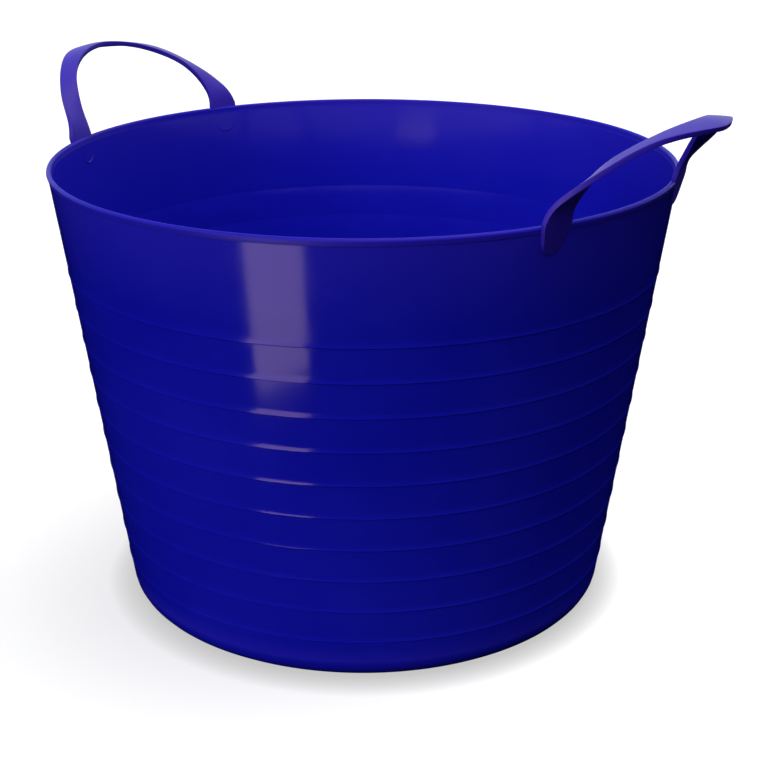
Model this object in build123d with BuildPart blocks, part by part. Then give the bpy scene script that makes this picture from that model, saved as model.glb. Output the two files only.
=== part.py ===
from build123d import *
import math
import os

# A flexible garden bucket: a soft moulded tub with two strap handles.
# Millimetres, +Z up, origin at the middle of the underside.
# The right handle stands on +X, the left one on -X, and -Y is the front.

# Tub
RIM_TOP = 330.0
FOOT_RADIUS = 181.0
MOUTH_RADIUS = 227.5
WALL = 3.0
FLOOR = 3.5
CORNER = 6.0

# Rings: going down, the wall flares out to each ring and ends in a small ledge under it
RING_COUNT = 10
RING_TOP = 257.0
RING_PITCH = 25.0
RING_PROUD = 1.0
RING_FLARE = 10.0
RING_LEDGE = 0.6

# Rim bead: how far it reaches in and out of the plain wall's mouth radius
BEAD_HEIGHT = 5.0
BEAD_INWARD = 5.1
BEAD_OUTWARD = 1.9
BEAD_BREAK = 1.7

# Handle strap: a curled sheet cut to an arch, whose outer and inner edges are given
# by their half span at the root, their run up the sheet and two shape exponents
STRAP = 4.6
OUTER_HALF_SPAN = 88.5
OUTER_RUN = 94.5
OUTER_SPREAD_EXPONENT = 1.22
OUTER_RISE_EXPONENT = 1.2
INNER_HALF_SPAN = 71.0
INNER_RUN = 79.5
INNER_SPREAD_EXPONENT = 1.16
INNER_RISE_EXPONENT = 0.94
OUTLINE_POINT_COUNT = 7

# The curl, going up from the root: three arcs, each with its length and its bend in degrees.
# The two handles rest at slightly different leans.
FLEX_RUN = 15.0
FLEX_ANGLE = {"left": 32.7, "right": 29.0}
LEG_RUN = 51.0
LEG_ANGLE = 19.5
CURL_RUN = 39.0
CURL_ANGLE = 42.0
CUT_ANGLE = 72.0

# Root: a tongue on the wall that rises a little above the rim
ROOT_RISE = 1.5
TONGUE_DROP = 20.0

wall_lean = math.degrees(math.atan2(MOUTH_RADIUS - FOOT_RADIUS, RIM_TOP))
wall_slope = (MOUTH_RADIUS - FOOT_RADIUS) / RIM_TOP
wall_across = WALL / math.cos(math.radians(wall_lean))
wall_top = RIM_TOP - BEAD_HEIGHT
bead_inside = MOUTH_RADIUS - BEAD_INWARD
bead_outside = MOUTH_RADIUS + BEAD_OUTWARD
root_top = RIM_TOP + ROOT_RISE
tongue_half = (OUTER_HALF_SPAN - INNER_HALF_SPAN) / 2
tongue_middle = (OUTER_HALF_SPAN + INNER_HALF_SPAN) / 2
tongue_straight = ROOT_RISE + TONGUE_DROP - tongue_half
strap_start = math.sqrt(MOUTH_RADIUS**2 - tongue_middle**2) + ROOT_RISE * wall_slope
slant = math.radians(CUT_ANGLE)
outward = {"left": -1, "right": 1}
rearward = {"front": -1, "rear": 1}


def outer(height):
    """Radius of the plain outer wall at a height."""
    return FOOT_RADIUS + height * wall_slope


def inner(height):
    """Radius of the inner wall at a height."""
    return outer(height) - wall_across


def curl_arcs(side):
    """Length and bend, in degrees, of the arcs of the strap's curl, from the root up."""
    return (
        (FLEX_RUN, FLEX_ANGLE[side]),
        (LEG_RUN, LEG_ANGLE),
        (CURL_RUN, CURL_ANGLE),
    )


def curl(side, run):
    """Outward and upward travel, and angle off vertical, after a run up the strap's sheet."""
    out = 0.0
    up = 0.0
    angle = math.radians(wall_lean)
    for length, bend in curl_arcs(side):
        travelled = min(run, length)
        rate = math.radians(bend) / length
        turned = angle + rate * travelled
        out += (math.cos(angle) - math.cos(turned)) / rate
        up += (math.sin(turned) - math.sin(angle)) / rate
        angle = turned
        run -= travelled
    return out, up, angle


def sheet_arcs(side, first, last):
    """Draw the middle line of the strap's sheet, from one arc of the curl to another."""
    run = sum(length for length, bend in curl_arcs(side)[:first])
    out, up, angle = curl(side, run)
    start = Vector(out, up)
    tangent = Vector(math.sin(angle), math.cos(angle))
    for length, bend in curl_arcs(side)[first : last + 1]:
        arc = JernArc(start, tangent, length / math.radians(bend), -bend)
        start = arc @ 1
        tangent = arc % 1


def arch_edge(side, half_span, run, spread, rise):
    """Points of one edge of the arch above the bending stretch, seen along the direction of the cut."""
    start_turn = math.asin((FLEX_RUN / run) ** (1 / rise))
    points = []
    for index in range(OUTLINE_POINT_COUNT):
        way = index / (OUTLINE_POINT_COUNT - 1)
        turn = start_turn + (math.pi - 2 * start_turn) * way
        along = math.copysign(abs(math.cos(turn)) ** spread, math.cos(turn)) * half_span
        out, up, angle = curl(side, run * math.sin(turn) ** rise)
        points.append((along, out * math.sin(slant) + up * math.cos(slant)))
    return points


def leg_foot(top, half_span):
    """Foot of the straight edge that runs from the top of a bending stretch past its root."""
    drift = (half_span - abs(top.X)) / top.Y
    return math.copysign(half_span + drift * STRAP, top.X), -STRAP


os.makedirs("parts", exist_ok=True)

# Wall: outer profile up along the rings, then straight down inside
profile = [(outer(FLOOR), FLOOR)]
for ring in reversed(range(RING_COUNT)):
    line = RING_TOP - ring * RING_PITCH
    profile += [
        (outer(line - RING_LEDGE), line - RING_LEDGE),
        (outer(line) + RING_PROUD, line),
        (outer(line + RING_FLARE), line + RING_FLARE),
    ]
profile += [
    (outer(wall_top), wall_top),
    (inner(wall_top), wall_top),
    (inner(FLOOR), FLOOR),
]
with BuildPart() as wall:
    with BuildSketch(Plane.XZ):
        with BuildLine():
            Polyline(*profile, close=True)
        make_face()
    revolve(axis=Axis.Z)
wall.part.label = "wall"
export_step(wall.part, "parts/wall.step")

# Floor: a disc whose corner is broken on the underside
with BuildPart() as floor:
    with BuildSketch(Plane.XZ):
        with BuildLine():
            Polyline((0, 0), (FOOT_RADIUS - CORNER, 0), (outer(FLOOR), FLOOR), (0, FLOOR), close=True)
        make_face()
    revolve(axis=Axis.Z)
floor.part.label = "floor"
export_step(floor.part, "parts/floor.step")

# Rim bead
with BuildPart() as rim:
    with BuildSketch(Plane.XZ) as bead:
        with Locations(((bead_inside + bead_outside) / 2, RIM_TOP - BEAD_HEIGHT / 2)):
            Rectangle(bead_outside - bead_inside, BEAD_HEIGHT)
        chamfer(bead.vertices().group_by(Axis.Y)[-1], BEAD_BREAK)
    revolve(axis=Axis.Z)
rim.part.label = "rim"
export_step(rim.part, "parts/rim.step")

for side in ("left", "right"):
    start = Vector(outward[side] * strap_start, 0, root_top)
    side_plane = Plane(start, x_dir=(outward[side], 0, 0), z_dir=(0, -outward[side], 0))
    cut_plane = Plane(
        start,
        x_dir=(0, outward[side], 0),
        z_dir=(outward[side] * math.cos(slant), 0, -math.sin(slant)),
    )

    # Outline of the arch, with its legs carried a little below the root's top
    with BuildSketch(cut_plane) as arch:
        with BuildLine():
            outer_edge = Spline(
                *arch_edge(side, OUTER_HALF_SPAN, OUTER_RUN, OUTER_SPREAD_EXPONENT, OUTER_RISE_EXPONENT)
            )
            inner_edge = Spline(
                *arch_edge(side, INNER_HALF_SPAN, INNER_RUN, INNER_SPREAD_EXPONENT, INNER_RISE_EXPONENT)
            )
            for tip in (0, 1):
                Polyline(
                    outer_edge @ tip,
                    leg_foot(outer_edge @ tip, OUTER_HALF_SPAN),
                    leg_foot(inner_edge @ tip, INNER_HALF_SPAN),
                    inner_edge @ tip,
                )
        make_face()

    # Grip: the leg and curl arcs of the sheet, cut to the arch
    with BuildPart() as grip:
        with BuildSketch(side_plane):
            with BuildLine():
                sheet_arcs(side, 1, 2)
            trace(line_width=STRAP)
        extrude(amount=2 * OUTER_HALF_SPAN, both=True)
        extrude(arch.sketch, amount=2 * OUTER_RUN, both=True, mode=Mode.INTERSECT)
    grip.part.label = f"{side}_grip"
    export_step(grip.part, f"parts/{side}_grip.step")

    # Bending stretches: the first arc of the sheet, cut to the same arch
    with BuildPart() as flexes:
        with BuildSketch(side_plane):
            with BuildLine():
                sheet_arcs(side, 0, 0)
            trace(line_width=STRAP)
        extrude(amount=2 * OUTER_HALF_SPAN, both=True)
        extrude(arch.sketch, amount=2 * OUTER_RUN, both=True, mode=Mode.INTERSECT)

    for end in ("front", "rear"):
        with BuildPart() as flex:
            add(flexes.part.solids().sort_by(Axis.Y)[0 if end == "front" else -1])
        flex.part.label = f"{side}_{end}_flex"
        export_step(flex.part, f"parts/{side}_{end}_flex.step")

        # Tongue outline: straight sides and a round bottom, on a plane that leans with the wall
        lean = math.radians(wall_lean)
        tongue_plane = Plane(
            start + Vector(0, rearward[end] * tongue_middle, 0),
            x_dir=(0, outward[side], 0),
            z_dir=(outward[side] * math.cos(lean), 0, -math.sin(lean)),
        )
        with BuildSketch(tongue_plane) as tongue:
            with BuildLine():
                Polyline(
                    (-tongue_half, -tongue_straight),
                    (-tongue_half, 0),
                    (tongue_half, 0),
                    (tongue_half, -tongue_straight),
                )
                ThreePointArc(
                    (tongue_half, -tongue_straight),
                    (0, -tongue_straight - tongue_half),
                    (-tongue_half, -tongue_straight),
                )
            make_face()

        # Root: the tongue as a plank in line with the leg, moulded onto wall and rim from outside
        with BuildPart() as root:
            extrude(tongue.sketch, amount=STRAP / 2, both=True)
            add(wall.part, mode=Mode.SUBTRACT)
            add(rim.part, mode=Mode.SUBTRACT)
            with Locations((0, 0, RIM_TOP / 2)):
                Cone(outer(0) - WALL / 2, outer(RIM_TOP) - WALL / 2, RIM_TOP, mode=Mode.SUBTRACT)
        root.part.label = f"{side}_{end}_root"
        export_step(root.part, f"parts/{side}_{end}_root.step")
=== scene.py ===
import math

import bmesh
import bpy
from bpy.props import FloatProperty, FloatVectorProperty, IntProperty, PointerProperty
from mathutils import Matrix, Vector


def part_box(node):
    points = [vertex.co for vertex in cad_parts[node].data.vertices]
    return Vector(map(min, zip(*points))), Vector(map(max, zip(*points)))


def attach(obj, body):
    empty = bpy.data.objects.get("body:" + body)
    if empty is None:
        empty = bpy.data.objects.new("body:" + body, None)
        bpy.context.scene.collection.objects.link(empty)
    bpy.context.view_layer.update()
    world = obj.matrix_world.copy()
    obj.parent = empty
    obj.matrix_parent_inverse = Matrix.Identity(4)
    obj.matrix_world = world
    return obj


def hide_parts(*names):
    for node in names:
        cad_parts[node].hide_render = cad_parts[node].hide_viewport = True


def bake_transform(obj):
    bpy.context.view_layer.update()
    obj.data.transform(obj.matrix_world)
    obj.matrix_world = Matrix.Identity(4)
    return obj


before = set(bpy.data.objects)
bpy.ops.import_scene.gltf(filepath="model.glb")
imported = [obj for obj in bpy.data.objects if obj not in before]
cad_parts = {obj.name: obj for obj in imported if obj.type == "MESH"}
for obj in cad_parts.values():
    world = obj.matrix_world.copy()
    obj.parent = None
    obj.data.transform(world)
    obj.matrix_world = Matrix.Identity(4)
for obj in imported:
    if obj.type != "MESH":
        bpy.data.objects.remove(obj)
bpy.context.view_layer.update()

bl_info = {
    "name": "Flexible bucket",
    "version": (1, 0, 0),
    "blender": (4, 5, 0),
    "location": "View3D > Sidebar > Bucket",
    "description": "Models a moulded flexible bucket with two strap handles and its studio stage",
    "category": "Object",
}

SIDES = ("left", "right")
ENDS = ("front", "rear")
OUTWARD = {"left": -1, "right": 1}
REARWARD = {"front": -1, "rear": 1}

# Fineness of the meshes
SPIN_STEPS = 288
FLARE_STEPS = 6
ARC_STEPS = 6
STRAP_STRIPS = 6
ARCH_STEPS = 72
FOOT_STEPS = 8
LEG_STEPS = 3
CURL_STEPS = 80
STRAP_EDGE_STEPS = 3
PAD_POINTS = 48
PAD_EDGE_STEPS = 4
SEED_SIZE = 0.001
MERGE = 1e-6
SMOOTH_ANGLE = math.radians(32)
SHARP_ANGLE = math.radians(60)

# Powers by which a ring's flare and a root's extra width die out
RING_FADE = 3
ROOT_FADE = 2

# Patterns of the plastic
CLOUD = {"Scale": 9.0, "Detail": 4.0, "Roughness": 0.55}
# Pointiness span over which sharp convex edges turn to the paler, purpler edge colour
CLOUD_RANGE = (0.35, 0.75)
EDGE_RANGE = (0.53, 0.62)
SCUFF = {"Scale": 38.0, "Detail": 6.0, "Roughness": 0.65}
SCUFF_RANGE = (0.3, 0.8)
SCUFF_SMOOTHER = 0.02
SCUFF_ROUGHER = 0.06
GRAIN = {"Scale": 900.0, "Detail": 2.0, "Roughness": 0.5}
GRAIN_BUMP = {"Strength": 0.05, "Distance": 0.0002}
SWELL = {"Scale": 14.0, "Detail": 1.0, "Roughness": 0.4}
SWELL_BUMP = {"Strength": 0.12, "Distance": 0.002}
PLASTIC_IOR = 1.5

# Highest values that the panel's sliders take for exponents and for lights
POWER_LIMIT = 8.0
GLOW_LIMIT = 20.0

# Soft patches of light on the dome: the setting for the strength, and bearing and height in degrees
PATCHES = (
    ("key_glow", -100, 38),
    ("fill_glow", -60, 38),
    ("low_glow", -105, 12),
    ("back_glow", 95, 38),
    ("edge_glow", 130, 17),
    ("top_glow", 38, 72),
)
PATCH_POWER = 16
WHITE = (1.0, 1.0, 1.0, 1.0)
DIM = (0.011, 0.011, 0.011, 1.0)
SENSOR_WIDTH = 36.0
NEAREST_VIEW = 0.01
NODE_STEP = 200

rim_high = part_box("rim")[1]
wall_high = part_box("wall")[1]


def length(name, description, default):
    """A size in metres."""
    return FloatProperty(
        name=name,
        description=description,
        default=default,
        min=0.0,
        precision=5,
        unit="LENGTH",
        subtype="DISTANCE",
    )


def angle(name, description, degrees):
    """An angle, given in degrees and kept in radians."""
    return FloatProperty(
        name=name,
        description=description,
        default=math.radians(degrees),
        unit="ROTATION",
        subtype="ANGLE",
    )


def spot(name, description, default):
    """A place in metres."""
    return FloatVectorProperty(
        name=name,
        description=description,
        default=default,
        size=3,
        unit="LENGTH",
        subtype="TRANSLATION",
    )


def colour(name, description, default):
    """A linear colour."""
    return FloatVectorProperty(
        name=name,
        description=description,
        default=default,
        size=3,
        min=0.0,
        max=1.0,
        subtype="COLOR",
    )


def share(name, description, default, high=1.0):
    """A plain number from nought to a limit."""
    return FloatProperty(
        name=name,
        description=description,
        default=default,
        min=0.0,
        max=high,
        subtype="FACTOR",
    )


class TubSizes(bpy.types.PropertyGroup):
    """Sizes of the tub."""

    rim_top: length("Rim top", "Height of the rim's top", rim_high.z)
    foot_radius: length("Foot radius", "Outer radius of the wall at the ground, before the corner", 0.181)
    mouth_radius: length("Mouth radius", "Outer radius of the plain wall at the rim's top", 0.2275)
    wall: length("Wall", "Thickness of the wall", 0.003)
    floor: length("Floor", "Thickness of the floor", 0.0035)
    corner: length("Corner", "Outer radius of the corner between wall and floor", 0.015)
    seam: length("Seam", "Height at which the floor piece meets the wall piece", 0.016)
    wall_top: length("Wall top", "Height at which the wall piece meets the rim bead", wall_high.z)
    ring_count: IntProperty(name="Rings", description="Number of stepped rings", default=10, min=1)
    ring_top: length("Top ring", "Height of the highest ring's line", 0.257)
    ring_pitch: length("Ring pitch", "Height between rings", 0.025)
    ring_proud: length("Ring proud", "How far a ring stands out of the plain wall", 0.0005)
    ring_ledge: length("Ring ledge", "Height of the small ledge under a ring", 0.0006)
    ring_flare: length("Ring flare", "Height over which the wall flares out to a ring", 0.0055)
    ring_echo: length("Ring echo", "Depth of the ring's echo inside the wall", 0.0001)
    bead_inside: length("Bead inside", "Inner radius of the rim bead", 0.2243)
    bead_outside: length("Bead outside", "Outer radius of the rim bead", 0.2280)
    bead_round: length("Bead round", "Radius of the bead's upper edges", 0.0021)
    bead_lip: length("Bead lip", "How far the bead stands out of the wall at its lower edge", 0.0003)


class StrapSizes(bpy.types.PropertyGroup):
    """Sizes of the handles and of the pads inside the wall."""

    thickness: length("Thickness", "Thickness of the strap", 0.0036)
    edge_round: length("Edge round", "Radius of the strap's edges", 0.0011)
    distance: length("Distance", "Distance of the strap's middle from the tub's axis at the rim", 0.2136)
    root_rise: length("Root rise", "Height of the tongue's top above the rim", 0.0015)
    tongue_drop: length("Tongue drop", "How far the tongue reaches below the rim", 0.020)
    outer_half_span: length("Outer half span", "Half the span of the strap's outer edge", 0.0885)
    outer_run: length("Outer run", "Run of the outer edge up the strap", 0.0945)
    outer_spread: share("Outer spread", "Exponent of the outer edge's span", 1.22, POWER_LIMIT)
    outer_rise: share("Outer rise", "Exponent of the outer edge's run", 1.2, POWER_LIMIT)
    inner_half_span: length("Inner half span", "Half the span of the strap's inner edge", 0.071)
    inner_run: length("Inner run", "Run of the inner edge up the strap", 0.0780)
    inner_spread: share("Inner spread", "Exponent of the inner edge's span", 1.16, POWER_LIMIT)
    inner_rise: share("Inner rise", "Exponent of the inner edge's run", 0.94, POWER_LIMIT)
    flex_run: length("Flex run", "Length of the stretch that bends", 0.015)
    flex_bend: angle("Flex bend", "Bend of the stretch that flexes, at rest", 29.0)
    leg_run: length("Leg run", "Length of the legs' arc", 0.051)
    leg_bend: angle("Leg bend", "Bend of the legs' arc", 19.5)
    curl_run: length("Curl run", "Length of the grip's arc", 0.039)
    curl_bend: angle("Curl bend", "Bend of the grip's arc", 42.0)
    left_lean: angle("Left lean", "How much further the left handle leans out at rest", 2.2)
    dish: angle("Dish", "How far the grip's section turns its outer edge down", 22.0)
    root_twist: angle("Root twist", "How far the roots turn their outer edge in, along the wall", 12.0)
    dish_start: length("Dish start", "Run up the strap where its section starts to turn", 0.006)
    dish_end: length("Dish end", "Run up the strap where its section has turned", 0.050)
    outer_flare: length("Outer flare", "How much the strap widens outward at the rim", 0.0040)
    inner_flare: length("Inner flare", "How much the strap widens inward at the rim", 0.0030)
    flare_run: length("Flare run", "Run up the strap over which it widens", 0.028)
    flare_drop: length("Flare drop", "Run down the tongue over which it narrows again", 0.020)
    tongue_sink: length("Tongue sink", "How far the tongue's foot sinks towards the wall", 0.002)
    pad_proud: length("Pad proud", "How far the pad stands out of the inner wall at its foot", 0.0004)
    pad_depth: length("Pad depth", "Thickness of the pad, most of it inside the wall", 0.0024)
    pad_sink: angle("Pad sink", "How much more than the wall the pad leans, to bury its top", 1.7)
    pad_round: length("Pad round", "Radius of the pad's edges", 0.0005)
    pad_lip: length("Pad lip", "Width of the lip round the pad's dent", 0.0006)
    pad_slope: length("Pad slope", "Width of the slope inside the lip", 0.0016)
    pad_dent: length("Pad dent", "Depth of the pad's dent", 0.0006)


class Finish(bpy.types.PropertyGroup):
    """Colours and gloss of the plastic."""

    deep: colour("Deep blue", "Colour of the plastic", (0.0045, 0.0052, 0.335))
    pale: colour("Pale blue", "Colour where the plastic is clouded", (0.0068, 0.0075, 0.368))
    thin: colour("Thin blue", "Colour where the plastic is thin", (0.0175, 0.0078, 0.303))
    # Paler, purpler colour that the plastic takes on its sharp convex edges
    edge_colour: colour("Convex edge", "Colour of rubbed edges", (0.0162, 0.0119, 0.400))
    sheen: colour("Sheen", "Tint of the reflections", (1.0, 0.66, 0.46))
    wall_roughness: share("Wall roughness", "Mean roughness of the tub", 0.11)
    wall_gloss: share("Wall gloss", "Strength of the reflections on the tub", 0.135)
    strap_roughness: share("Strap roughness", "Mean roughness of rim and straps", 0.42)
    strap_gloss: share("Strap gloss", "Strength of the reflections on the straps", 0.24)
    rim_gloss: share("Rim gloss", "Strength of the reflections on the rim", 0.10)


class StageSetup(bpy.types.PropertyGroup):
    """Camera, floor and light."""

    camera_place: spot("Camera place", "Where the camera stands", (0.7096, -0.9082, 0.5847))
    camera_tilt: angle("Camera tilt", "Angle of the camera's view up from straight down", 69.43)
    camera_turn: angle("Camera turn", "Turn of the camera about the vertical", 37.27)
    lens: FloatProperty(name="Lens", description="Focal length", default=75.0, min=1.0, unit="CAMERA")
    key_glow: share("Key glow", "Strength of the soft light at the front left", 3.5, GLOW_LIMIT)
    fill_glow: share("Fill glow", "Strength of the soft light at the front", 2.9, GLOW_LIMIT)
    low_glow: share("Low glow", "Strength of the low light at the front left", 3.0, GLOW_LIMIT)
    back_glow: share("Back glow", "Strength of the soft light behind", 3.0, GLOW_LIMIT)
    edge_glow: share("Edge glow", "Strength of the low light behind", 0.8, GLOW_LIMIT)
    top_glow: share("Top glow", "Strength of the soft light overhead", 7.4, GLOW_LIMIT)
    card_glow: share("Card glow", "Strength of the card that reflections show", 7.8, GLOW_LIMIT)
    card_place: spot("Card place", "Where the card stands", (0.113, -0.515, 0.18))
    card_width: length("Card width", "Width of the card", 0.16)
    card_height: length("Card height", "Height of the card", 0.36)
    board_radius: length("Board radius", "Radius of the dark board that reflections show", 3.5)
    board_height: length("Board height", "Height of the dark board above the floor", 0.0005)
    floor_side: length("Floor side", "Side of the square floor", 14.0)
    floor_glow: share("Floor glow", "Share of the floor's white that takes no shadow", 0.56)
    contact_depth: share("Contact depth", "Power that deepens the shade close to the tub", 2.2, POWER_LIMIT)
    contact_reach: length("Contact reach", "How far from the tub the floor darkens", 0.024)


def pick(piece=None):
    """Deselect everything, then select one piece and make it the active one."""
    bpy.ops.object.select_all(action="DESELECT")
    if piece:
        piece.select_set(True)
        bpy.context.view_layer.objects.active = piece


def added(name):
    """The object that an operator has just added, under its own name."""
    piece = bpy.context.active_object
    piece.name = piece.data.name = name
    return piece


def end_edit():
    """Weld, turn the faces outward and go back to object mode."""
    bpy.ops.mesh.select_all(action="SELECT")
    bpy.ops.mesh.remove_doubles(threshold=MERGE)
    bpy.ops.mesh.normals_make_consistent(inside=False)
    bpy.ops.object.mode_set(mode="OBJECT")


def choose(piece, test):
    """Select, in edit mode, the vertices that pass a test on their place."""
    mesh = bmesh.from_edit_mesh(piece.data)
    for item in list(mesh.faces) + list(mesh.edges):
        item.select = False
    for vertex in mesh.verts:
        vertex.select = test(vertex.co)
    mesh.select_flush(True)
    bmesh.update_edit_mesh(piece.data)


def apply_modifiers(piece):
    """Apply every modifier of a piece in order."""
    pick(piece)
    for modifier in list(piece.modifiers):
        bpy.ops.object.modifier_apply(modifier=modifier.name)


def settle(piece, matrix):
    """Bring a piece to its place and make that its own coordinates."""
    pick(piece)
    piece.matrix_world = matrix
    bpy.ops.object.transform_apply(location=True, rotation=True, scale=True)


def smooth(piece):
    """Shade a piece smooth, but for its sharp edges."""
    pick(piece)
    bpy.ops.object.shade_smooth_by_angle(angle=SMOOTH_ANGLE)


def duplicate(piece, name):
    """A copy of a piece with a mesh of its own."""
    copy = piece.copy()
    copy.data = piece.data.copy()
    copy.name = copy.data.name = name
    bpy.context.collection.objects.link(copy)
    return copy


def spin(name, points):
    """Draw a closed outline point by point and spin it round the tub's axis."""
    pick()
    bpy.ops.mesh.primitive_plane_add(size=SEED_SIZE, location=(0, 0, 0))
    piece = added(name)
    bpy.ops.object.mode_set(mode="EDIT")
    bpy.ops.mesh.select_all(action="SELECT")
    bpy.ops.mesh.merge(type="CENTER")
    corners = [Vector((radius, 0, height)) for radius, height in points]
    bpy.ops.transform.translate(value=corners[0])
    for corner, following in zip(corners, corners[1:] + corners[:1]):
        bpy.ops.mesh.extrude_region_move(TRANSFORM_OT_translate={"value": following - corner})
    bpy.ops.mesh.select_all(action="SELECT")
    bpy.ops.mesh.spin(steps=SPIN_STEPS, angle=math.tau, center=(0, 0, 0), axis=(0, 0, 1))
    end_edit()
    smooth(piece)
    return piece


def arc(centre, radius, first, last):
    """Points of an arc, its angles in degrees."""
    points = []
    for step in range(ARC_STEPS + 1):
        turn = math.radians(first + (last - first) * step / ARC_STEPS)
        points.append((centre[0] + radius * math.cos(turn), centre[1] + radius * math.sin(turn)))
    return points


def outer(tub, height):
    """Radius of the plain outer wall at a height."""
    return tub.foot_radius + (tub.mouth_radius - tub.foot_radius) * height / tub.rim_top


def lean(tub):
    """Lean of the wall off vertical."""
    return math.atan2(tub.mouth_radius - tub.foot_radius, tub.rim_top)


def inner(tub, height):
    """Radius of the plain inner wall at a height."""
    return outer(tub, height) - tub.wall / math.cos(lean(tub))


def ring_outline(tub, line, surface, proud):
    """Points of a ring, from its ledge up to where its flare has died out in the plain wall."""
    foot = line - tub.ring_ledge
    points = [(surface(tub, foot), foot)]
    for step in range(FLARE_STEPS + 1):
        way = step / FLARE_STEPS
        height = line + way * tub.ring_flare
        points.append((surface(tub, height) + proud * (1 - way) ** RING_FADE, height))
    return points


def wall_outline(tub):
    """Outline of the wall: up the outside over the rings and down the inside over their echoes."""
    lines = [tub.ring_top - ring * tub.ring_pitch for ring in range(tub.ring_count)]
    points = [(outer(tub, tub.seam), tub.seam)]
    for line in reversed(lines):
        points += ring_outline(tub, line, outer, tub.ring_proud)
    points += [(outer(tub, tub.wall_top), tub.wall_top), (inner(tub, tub.wall_top), tub.wall_top)]
    for line in lines:
        points += reversed(ring_outline(tub, line, inner, tub.ring_echo))
    points.append((inner(tub, tub.seam), tub.seam))
    return points


def rim_outline(tub):
    """Outline of the rim bead: out of the inner wall, over the rounded top and back to the outer wall."""
    top = tub.rim_top - tub.bead_round
    points = [(inner(tub, tub.wall_top), tub.wall_top)]
    points += arc((tub.bead_inside + tub.bead_round, top), tub.bead_round, 180, 90)
    points += arc((tub.bead_outside - tub.bead_round, top), tub.bead_round, 90, 0)
    points.append((outer(tub, tub.wall_top) + tub.bead_lip, tub.wall_top))
    return points


def corner_outline(tub, radius, wall_foot, low):
    """Points of a rounded corner, from a level face up to the leaning wall."""
    turn = (math.pi / 2 - lean(tub)) / 2
    middle = (wall_foot - radius * math.tan(turn), low + radius)
    return arc(middle, radius, -90, -math.degrees(lean(tub)))


def floor_outline(tub):
    """Outline of the floor: the underside, the rounded corner up to the seam, and the dish inside."""
    points = [(0, 0)]
    points += corner_outline(tub, tub.corner, tub.foot_radius, 0)
    points += [(outer(tub, tub.seam), tub.seam), (inner(tub, tub.seam), tub.seam)]
    points += reversed(corner_outline(tub, tub.corner - tub.wall, inner(tub, tub.floor), tub.floor))
    points.append((0, tub.floor))
    return points


def curl(tub, strap, side):
    """Middle line of a handle's strap seen from the end: outward and upward places from the tongue's foot."""
    turn = lean(tub)
    slope = math.tan(turn)
    foot = strap.distance - strap.tongue_drop * slope - strap.tongue_sink
    out = strap.distance + strap.root_rise * slope
    up = tub.rim_top + strap.root_rise
    points = [(foot, tub.rim_top - strap.tongue_drop), (out, up)]
    arcs = (
        (strap.flex_run, strap.flex_bend + (strap.left_lean if side == "left" else 0.0)),
        (strap.leg_run, strap.leg_bend),
        (strap.curl_run, strap.curl_bend),
    )
    for run, bend in arcs:
        half_turn = bend / CURL_STEPS / 2
        chord = run / CURL_STEPS * math.sin(half_turn) / half_turn
        for step in range(CURL_STEPS):
            out += chord * math.sin(turn + half_turn)
            up += chord * math.cos(turn + half_turn)
            turn += 2 * half_turn
            points.append((out, up))
    return points


def flex_span(tub, strap, side):
    """The two ends of the stretch of strap that bends, in the middle of the handle."""
    points = curl(tub, strap, side)
    return [(OUTWARD[side] * out, 0, up) for out, up in (points[1], points[1 + CURL_STEPS])]


def tongue_run(tub, strap):
    """Length of a tongue along the wall."""
    return (strap.root_rise + strap.tongue_drop) / math.cos(lean(tub))


def tongue_half(strap):
    """Half the width of a tongue."""
    return (strap.outer_half_span - strap.inner_half_span) / 2


def tongue_middle(strap):
    """Place of a tongue's middle along the rim."""
    return (strap.outer_half_span + strap.inner_half_span) / 2


def tongue_rows(tub, strap):
    """Inner and outer edge points of one flat tongue, from its round foot up."""
    half = tongue_half(strap)
    middle = tongue_middle(strap)
    run = tongue_run(tub, strap)
    rows = []
    for step in range(1, FOOT_STEPS + 1):
        turn = math.pi / 2 * step / FOOT_STEPS
        reach = half * math.sin(turn)
        low = half * (1 - math.cos(turn)) - run
        rows.append((Vector((low, middle - reach)), Vector((low, middle + reach))))
    for step in range(1, LEG_STEPS):
        low = (half - run) * (1 - step / LEG_STEPS)
        rows.append((Vector((low, strap.inner_half_span)), Vector((low, strap.outer_half_span))))
    return rows


def edge_point(turn, half_span, run, spread, rise):
    """A point of the flat arch's edge: place up the strap and place along the rim."""
    across = math.copysign(abs(math.cos(turn)) ** spread, math.cos(turn)) * half_span
    return Vector((run * max(math.sin(turn), 0.0) ** rise, across))


def arch_rows(strap):
    """Inner and outer edge points of the flat arch, from one root over to the other."""
    inner_edge = (strap.inner_half_span, strap.inner_run, strap.inner_spread, strap.inner_rise)
    outer_edge = (strap.outer_half_span, strap.outer_run, strap.outer_spread, strap.outer_rise)
    turns = [math.pi * step / ARCH_STEPS for step in range(ARCH_STEPS + 1)]
    return [(edge_point(turn, *inner_edge), edge_point(turn, *outer_edge)) for turn in turns]


def widen(strap, point, extra):
    """Move a point of the strap's edge along the rim by its share of the root's extra width."""
    above = point.x + strap.root_rise
    reach = above / strap.flare_run if above > 0 else -above / strap.flare_drop
    move = extra * max(1 - reach, 0.0) ** ROOT_FADE
    return Vector((point.x, point.y + math.copysign(move, move * point.y)))


def strap_rows(tub, strap):
    """Inner and outer edge points of the flat strap, from the foot of one tongue to the foot of the other."""
    tongue = tongue_rows(tub, strap)
    mirror = Vector((1, -1))
    other = [(near * mirror, far * mirror) for near, far in reversed(tongue)]
    return [
        (widen(strap, near, -strap.inner_flare), widen(strap, far, strap.outer_flare))
        for near, far in tongue + arch_rows(strap) + other
    ]


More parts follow.
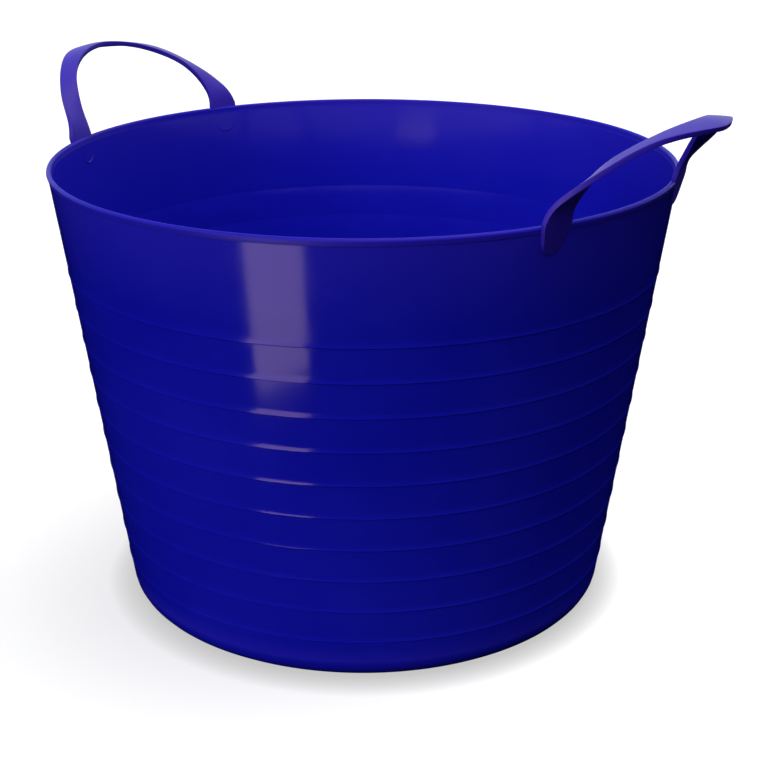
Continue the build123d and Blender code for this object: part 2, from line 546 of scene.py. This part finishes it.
def dish_row(piece, strap, place, across, run):
    """Turn the selected row of the flat strap about its middle: along the wall at the root, dished above."""
    way = (run - strap.dish_start) / (strap.dish_end - strap.dish_start)
    way = min(max(way, 0.0), 1.0)
    turn = (strap.dish + strap.root_twist) * way * way * (3 - 2 * way) - strap.root_twist
    mesh = bmesh.from_edit_mesh(piece.data)
    for vertex in mesh.verts:
        if vertex.select:
            offset = Vector((vertex.co.x - place.x, vertex.co.z - place.z)).dot(across.normalized())
            vertex.co.y = -math.tan(turn) * offset
    bmesh.update_edit_mesh(piece.data)


def flat_strap(tub, strap):
    """Draw the strap flat, row by row, before it is thickened and curled."""
    pick()
    bpy.ops.mesh.primitive_grid_add(
        x_subdivisions=STRAP_STRIPS,
        y_subdivisions=1,
        size=1,
        location=(0, 0, 0),
        rotation=(0, math.pi / 2, 0),
    )
    piece = added("strap")
    bpy.ops.object.transform_apply(location=True, rotation=True, scale=True)
    bpy.ops.object.mode_set(mode="EDIT")
    # One of the grid's two rows is kept and brought to the middle
    choose(piece, lambda place: place.y > 0)
    bpy.ops.mesh.delete(type="VERT")
    bpy.ops.mesh.select_all(action="SELECT")
    bpy.ops.transform.translate(value=(0, 0.5, 0))
    # Each row of the strap is extruded from the last one, then turned, widened and dished
    foot = tongue_run(tub, strap)
    centre = Vector((0, 0, 0))
    heading, width = -math.pi / 2, 1.0
    for index, (near, far) in enumerate(strap_rows(tub, strap)):
        across = far - near
        place = Vector((foot + (near.x + far.x) / 2, 0, (near.y + far.y) / 2))
        turn = math.atan2(across.y, across.x)
        if index:
            bpy.ops.mesh.extrude_region_move(TRANSFORM_OT_translate={"value": place - centre})
        else:
            bpy.ops.transform.translate(value=place - centre)
        bpy.ops.transform.rotate(
            value=turn - heading, orient_axis="Y", orient_type="GLOBAL", center_override=place
        )
        bpy.ops.transform.resize(value=[across.length / width] * 3, center_override=place)
        dish_row(piece, strap, place, across, place.x - foot)
        centre, heading, width = place, turn, across.length
    end_edit()
    return piece


def thicken(strap, flat):
    """Give the flat strap its thickness and round its edges."""
    body = flat.modifiers.new("Thickness", "SOLIDIFY")
    body.thickness = strap.thickness
    body.offset = 0.0
    edges = flat.modifiers.new("Edges", "BEVEL")
    edges.width = strap.edge_round
    edges.segments = STRAP_EDGE_STEPS
    edges.limit_method = "ANGLE"
    edges.angle_limit = SHARP_ANGLE
    apply_modifiers(flat)


def curl_strap(piece, points):
    """Bend a flat strap along a middle line."""
    pick()
    bpy.ops.curve.primitive_bezier_curve_add(location=(0, 0, 0))
    path = added("curl_path")
    path.data.dimensions = "2D"
    path.data.splines.clear()
    line = path.data.splines.new("POLY")
    line.points.add(len(points) - 1)
    for point, (out, up) in zip(line.points, points):
        point.co = (out, up, 0, 1)
    bend = piece.modifiers.new("Curl", "CURVE")
    bend.object = path
    bend.deform_axis = "POS_X"
    apply_modifiers(piece)
    bpy.data.objects.remove(path)


def trim_tongues(tub, piece):
    """Cut away what would show inside the tub, so that the tongues lie on the wall from outside."""
    pick()
    bpy.ops.mesh.primitive_cone_add(
        vertices=SPIN_STEPS,
        radius1=outer(tub, 0) - tub.wall / 2,
        radius2=outer(tub, tub.wall_top) - tub.wall / 2,
        depth=tub.wall_top,
        location=(0, 0, tub.wall_top / 2),
    )
    cutter = added("tongue_cutter")
    trim = piece.modifiers.new("Trim", "BOOLEAN")
    trim.operation = "DIFFERENCE"
    trim.solver = "EXACT"
    trim.object = cutter
    apply_modifiers(piece)
    bpy.data.objects.remove(cutter)


def dented_pad(tub, strap):
    """Model the pad that a tongue leaves inside the wall: round below, with a lip and a dent."""
    half = tongue_half(strap)
    rise = (tub.wall_top - tub.rim_top + strap.tongue_drop) / math.cos(lean(tub))
    pick()
    bpy.ops.mesh.primitive_circle_add(
        vertices=PAD_POINTS, radius=half, fill_type="NGON", location=(0, half, 0)
    )
    pad = added("pad")
    bpy.ops.object.transform_apply(location=True, rotation=True, scale=True)
    bpy.ops.object.mode_set(mode="EDIT")
    choose(pad, lambda place: place.y > half - MERGE)
    bpy.ops.transform.resize(value=(1, 0, 1), center_override=(0, rise, 0))
    bpy.ops.mesh.select_all(action="SELECT")
    bpy.ops.mesh.remove_doubles(threshold=MERGE)
    bpy.ops.mesh.extrude_region_move(TRANSFORM_OT_translate={"value": (0, 0, strap.pad_depth)})
    bpy.ops.mesh.bevel(offset=strap.pad_round, segments=PAD_EDGE_STEPS, affect="EDGES")
    choose(pad, lambda place: place.z > strap.pad_depth - MERGE)
    bpy.ops.mesh.inset(thickness=strap.pad_lip, depth=0.0)
    bpy.ops.mesh.inset(thickness=strap.pad_slope, depth=-strap.pad_dent)
    end_edit()
    return pad


def pad_matrix(tub, strap, side, end):
    """Place of a pad: its foot on the inner wall, its top leaning into the wall."""
    foot = tub.rim_top - strap.tongue_drop
    turn = math.atan2(REARWARD[end] * tongue_middle(strap), OUTWARD[side] * strap.distance)
    slope = lean(tub) + strap.pad_sink
    radial = Vector((math.cos(turn), math.sin(turn), 0))
    rising = radial * math.sin(slope) + Vector((0, 0, math.cos(slope)))
    inward = Vector((0, 0, math.sin(slope))) - radial * math.cos(slope)
    buried = strap.pad_depth - strap.pad_proud
    matrix = Matrix((rising.cross(inward), rising, inward)).transposed().to_4x4()
    matrix.translation = radial * inner(tub, foot) + Vector((0, 0, foot)) - inward * buried
    return matrix


def fresh_tree(owner):
    """The empty node tree of a material or a world."""
    owner.use_nodes = True
    owner.node_tree.nodes.clear()
    return owner.node_tree


def node(tree, kind, inputs=None, **settings):
    """A shader node after the last one, with its settings, and with its inputs fixed or linked."""
    made = tree.nodes.new(kind)
    made.location.x = NODE_STEP * len(tree.nodes)
    for key, value in settings.items():
        setattr(made, key, value)
    for key, value in (inputs or {}).items():
        if isinstance(value, bpy.types.NodeSocket):
            tree.links.new(value, made.inputs[key])
        else:
            made.inputs[key].default_value = value
    return made


def reckon(tree, operation, first, second):
    """The result of a sum on two sockets or numbers."""
    return node(tree, "ShaderNodeMath", {0: first, 1: second}, operation=operation).outputs["Value"]


def noise(tree, place, settings):
    """A noise pattern on a piece's own coordinates."""
    return node(tree, "ShaderNodeTexNoise", {"Vector": place, **settings}).outputs["Fac"]


def ramp(tree, source, span):
    """A colour ramp from black at the start of a span to white at its end."""
    made = node(tree, "ShaderNodeValToRGB", {"Fac": source})
    for element, position in zip(made.color_ramp.elements, span):
        element.position = position
    return made.outputs["Color"]


def mix_colours(tree, factor, first, second):
    """A mix of two colours."""
    inputs = {"Factor": factor, "A": first, "B": second}
    return node(tree, "ShaderNodeMix", inputs, data_type="RGBA").outputs["Result"]


def mix_shaders(tree, factor, first, second):
    """A mix of two shaders."""
    return node(tree, "ShaderNodeMixShader", {"Fac": factor, 1: first, 2: second}).outputs["Shader"]


def plastic(finish, name, deep, pale, roughness, gloss):
    """The moulded polyethylene: clouded blue with fine grain and scuffs, paler and purpler on sharp convex
    edges.
    """
    material = bpy.data.materials.get(name) or bpy.data.materials.new(name)
    tree = fresh_tree(material)
    place = node(tree, "ShaderNodeTexCoord").outputs["Object"]

    clouds = ramp(tree, noise(tree, place, CLOUD), CLOUD_RANGE)
    body = mix_colours(tree, clouds, (*deep, 1), (*pale, 1))
    # Sharp convex edges, found by pointiness, take the paler, purpler edge colour
    edges = ramp(tree, node(tree, "ShaderNodeNewGeometry").outputs["Pointiness"], EDGE_RANGE)
    convex = mix_colours(tree, edges, body, (*finish.edge_colour, 1))

    scuffs = {
        "Value": noise(tree, place, SCUFF),
        "From Min": SCUFF_RANGE[0],
        "From Max": SCUFF_RANGE[1],
        "To Min": roughness - SCUFF_SMOOTHER,
        "To Max": roughness + SCUFF_ROUGHER,
    }
    scuffed = node(tree, "ShaderNodeMapRange", scuffs).outputs["Result"]

    fine = {"Height": noise(tree, place, GRAIN), **GRAIN_BUMP}
    grained = node(tree, "ShaderNodeBump", fine).outputs["Normal"]
    broad = {"Height": noise(tree, place, SWELL), "Normal": grained, **SWELL_BUMP}
    swollen = node(tree, "ShaderNodeBump", broad).outputs["Normal"]

    surface = {
        "Base Color": convex,
        "Roughness": scuffed,
        "Normal": swollen,
        "IOR": PLASTIC_IOR,
        "Specular IOR Level": gloss,
        "Specular Tint": (*finish.sheen, 1),
    }
    shader = node(tree, "ShaderNodeBsdfPrincipled", surface).outputs["BSDF"]
    node(tree, "ShaderNodeOutputMaterial", {"Surface": shader})
    return material


def paint(context, piece, look):
    """Give a piece the plastic: glossy on the tub, satin on the rim, satin and lighter on the straps."""
    finish = context.scene.bucket_finish
    looks = {
        "tub": (finish.deep, finish.pale, finish.wall_roughness, finish.wall_gloss),
        "rim": (finish.deep, finish.thin, finish.strap_roughness, finish.rim_gloss),
        "strap": (finish.thin, finish.thin, finish.strap_roughness, finish.strap_gloss),
    }
    piece.data.materials.clear()
    piece.data.materials.append(plastic(finish, f"polyethylene_{look}", *looks[look]))


def finish_piece(context, piece, body, cad_node, look="tub"):
    """Paint a piece, set it in place of its CAD node and let it ride on a body."""
    paint(context, piece, look)
    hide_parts(cad_node)
    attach(piece, body)


def seen_white(tree):
    """One for what is seen straight, in a reflection or through glass, and nought for other light."""
    path = node(tree, "ShaderNodeLightPath").outputs
    seen = reckon(tree, "MAXIMUM", path["Is Camera Ray"], path["Is Glossy Ray"])
    return reckon(tree, "MAXIMUM", seen, path["Is Transmission Ray"])


def paper(setup):
    """White paper that keeps the tub's shadow and throws little light back at the plastic."""
    material = bpy.data.materials.new("stage_paper")
    tree = fresh_tree(material)
    near = node(tree, "ShaderNodeAmbientOcclusion", {"Distance": setup.contact_reach}).outputs["AO"]
    shade = reckon(tree, "POWER", near, setup.contact_depth)
    shaded = node(tree, "ShaderNodeBsdfDiffuse", {"Color": shade}).outputs["BSDF"]
    lit = node(tree, "ShaderNodeEmission", {"Color": WHITE, "Strength": 1.0}).outputs["Emission"]
    sheet = mix_shaders(tree, setup.floor_glow, shaded, lit)
    dim = node(tree, "ShaderNodeBsdfDiffuse", {"Color": DIM}).outputs["BSDF"]
    node(tree, "ShaderNodeOutputMaterial", {"Surface": mix_shaders(tree, seen_white(tree), dim, sheet)})
    return material


def glow(name, strength):
    """The plain finish of a card that glows, or is black at no strength."""
    material = bpy.data.materials.new(name)
    tree = fresh_tree(material)
    light = node(tree, "ShaderNodeEmission", {"Strength": strength}).outputs["Emission"]
    node(tree, "ShaderNodeOutputMaterial", {"Surface": light})
    return material


def mirror_only(card, strength):
    """Let a card of the stage show in reflections and nowhere else."""
    card.data.materials.append(glow(card.name, strength))
    card.visible_camera = False
    card.visible_diffuse = False
    card.visible_shadow = False


def dome(scene, setup):
    """A dome that lights the object with soft patches and is plain white where it is seen."""
    world = bpy.data.worlds.new("stage_dome")
    scene.world = world
    tree = fresh_tree(world)
    place = node(tree, "ShaderNodeTexCoord").outputs["Generated"]
    total = 0.0
    for key, bearing, height in PATCHES:
        turn, rise = math.radians(bearing), math.radians(height)
        towards = (math.cos(turn) * math.cos(rise), math.sin(turn) * math.cos(rise), math.sin(rise))
        angled = node(tree, "ShaderNodeVectorMath", {0: place, 1: towards}, operation="DOT_PRODUCT")
        facing = reckon(tree, "MAXIMUM", angled.outputs["Value"], 0.0)
        patch = reckon(tree, "POWER", facing, PATCH_POWER)
        light = reckon(tree, "MULTIPLY", patch, getattr(setup, key))
        total = reckon(tree, "ADD", light, total)
    soft = node(tree, "ShaderNodeBackground", {"Color": WHITE, "Strength": total}).outputs["Background"]
    white = node(tree, "ShaderNodeBackground", {"Color": WHITE, "Strength": 1.0}).outputs["Background"]
    node(tree, "ShaderNodeOutputWorld", {"Surface": mix_shaders(tree, seen_white(tree), soft, white)})


def add_camera(scene, setup):
    """The camera at the viewing angle of the picture."""
    camera = bpy.data.cameras.new("camera")
    camera.lens = setup.lens
    camera.sensor_width = SENSOR_WIDTH
    camera.clip_start = NEAREST_VIEW
    view = bpy.data.objects.new("camera", camera)
    view.location = setup.camera_place
    turn = Matrix.Rotation(setup.camera_turn, 4, "Z") @ Matrix.Rotation(setup.camera_tilt, 4, "X")
    view.rotation_euler = turn.to_euler()
    scene.collection.objects.link(view)
    scene.camera = view


class BUCKET_OT_wall(bpy.types.Operator):
    """Spin the ringed wall of the tub"""

    bl_idname = "bucket.wall"
    bl_label = "Wall"
    bl_options = {"REGISTER", "UNDO"}

    def execute(self, context):
        piece = spin("tub_wall", wall_outline(context.scene.bucket_tub))
        finish_piece(context, piece, "tub", "wall")
        return {"FINISHED"}


class BUCKET_OT_rim(bpy.types.Operator):
    """Spin the rounded bead of the rim"""

    bl_idname = "bucket.rim"
    bl_label = "Rim"
    bl_options = {"REGISTER", "UNDO"}

    def execute(self, context):
        piece = spin("tub_rim", rim_outline(context.scene.bucket_tub))
        finish_piece(context, piece, "tub", "rim", look="rim")
        return {"FINISHED"}


class BUCKET_OT_floor(bpy.types.Operator):
    """Spin the floor with its rounded corner"""

    bl_idname = "bucket.floor"
    bl_label = "Floor"
    bl_options = {"REGISTER", "UNDO"}

    def execute(self, context):
        piece = spin("tub_floor", floor_outline(context.scene.bucket_tub))
        finish_piece(context, piece, "tub", "floor")
        return {"FINISHED"}


class BUCKET_OT_straps(bpy.types.Operator):
    """Draw the handle strap flat, thicken it, round its edges and curl one copy for each side"""

    bl_idname = "bucket.straps"
    bl_label = "Handle straps"
    bl_options = {"REGISTER", "UNDO"}

    def execute(self, context):
        tub = context.scene.bucket_tub
        strap = context.scene.bucket_strap
        flat = flat_strap(tub, strap)
        thicken(strap, flat)
        upright = Matrix.Rotation(math.pi / 2, 4, "X")
        for side in SIDES:
            piece = duplicate(flat, f"{side}_strap")
            curl_strap(piece, curl(tub, strap, side))
            facing = Matrix.Rotation(0.0 if side == "right" else math.pi, 4, "Z")
            settle(piece, facing @ upright)
            trim_tongues(tub, piece)
            smooth(piece)
            start, end = flex_span(tub, strap, side)
            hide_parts(f"{side}_grip", *[f"{side}_{leg}_flex" for leg in ENDS])
            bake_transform(piece)
            paint(context, piece, look="strap")
        bpy.data.objects.remove(flat)
        return {"FINISHED"}


class BUCKET_OT_pads(bpy.types.Operator):
    """Model the dented pad that a tongue leaves inside the wall and set one at each root"""

    bl_idname = "bucket.pads"
    bl_label = "Tongue pads"
    bl_options = {"REGISTER", "UNDO"}

    def execute(self, context):
        tub = context.scene.bucket_tub
        strap = context.scene.bucket_strap
        pad = dented_pad(tub, strap)
        for side in SIDES:
            for end in ENDS:
                piece = duplicate(pad, f"{side}_{end}_pad")
                settle(piece, pad_matrix(tub, strap, side, end))
                smooth(piece)
                finish_piece(context, piece, "tub", f"{side}_{end}_root")
        bpy.data.objects.remove(pad)
        return {"FINISHED"}


class BUCKET_OT_stage(bpy.types.Operator):
    """Set up the floor, the light and the camera"""

    bl_idname = "bucket.stage"
    bl_label = "Stage"
    bl_options = {"REGISTER", "UNDO"}

    def execute(self, context):
        scene = context.scene
        setup = scene.bucket_stage
        scene.view_settings.view_transform = "Standard"
        pick()
        bpy.ops.mesh.primitive_plane_add(size=setup.floor_side, location=(0, 0, 0))
        ground = added("stage_floor")
        ground.data.materials.append(paper(setup))
        bpy.ops.mesh.primitive_plane_add(size=1, location=setup.card_place, rotation=(math.pi / 2, 0, 0))
        card = added("stage_card")
        card.scale = (setup.card_width, setup.card_height, 1)
        mirror_only(card, setup.card_glow)
        bpy.ops.mesh.primitive_circle_add(
            radius=setup.board_radius, fill_type="NGON", location=(0, 0, setup.board_height)
        )
        mirror_only(added("stage_board"), 0.0)
        dome(scene, setup)
        add_camera(scene, setup)
        return {"FINISHED"}


class BUCKET_PT_panel(bpy.types.Panel):
    """Lists the bucket's pieces and sizes"""

    bl_idname = "BUCKET_PT_panel"
    bl_label = "Flexible bucket"
    bl_space_type = "VIEW_3D"
    bl_region_type = "UI"
    bl_category = "Bucket"

    def draw(self, context):
        for operator in OPERATORS:
            self.layout.operator(operator.bl_idname)
        for group in GROUPS:
            settings = getattr(context.scene, group)
            box = self.layout.box()
            for key in settings.bl_rna.properties.keys():
                if key not in ("name", "rna_type"):
                    box.prop(settings, key)


GROUPS = {
    "bucket_tub": TubSizes,
    "bucket_strap": StrapSizes,
    "bucket_finish": Finish,
    "bucket_stage": StageSetup,
}
OPERATORS = [
    BUCKET_OT_wall,
    BUCKET_OT_rim,
    BUCKET_OT_floor,
    BUCKET_OT_straps,
    BUCKET_OT_pads,
    BUCKET_OT_stage,
]
CLASSES = [*GROUPS.values(), *OPERATORS, BUCKET_PT_panel]


def register():
    """Register the classes and hang the settings on the scene."""
    for item in CLASSES:
        bpy.utils.register_class(item)
    for key, group in GROUPS.items():
        setattr(bpy.types.Scene, key, PointerProperty(type=group))


def unregister():
    """Take the settings off the scene and unregister the classes."""
    for key in GROUPS:
        delattr(bpy.types.Scene, key)
    for item in reversed(CLASSES):
        bpy.utils.unregister_class(item)


def main():
    """Build every piece and the stage."""
    register()
    bpy.ops.bucket.wall()
    bpy.ops.bucket.rim()
    bpy.ops.bucket.floor()
    bpy.ops.bucket.straps()
    bpy.ops.bucket.pads()
    bpy.ops.bucket.stage()


if __name__ == "__main__":
    main()
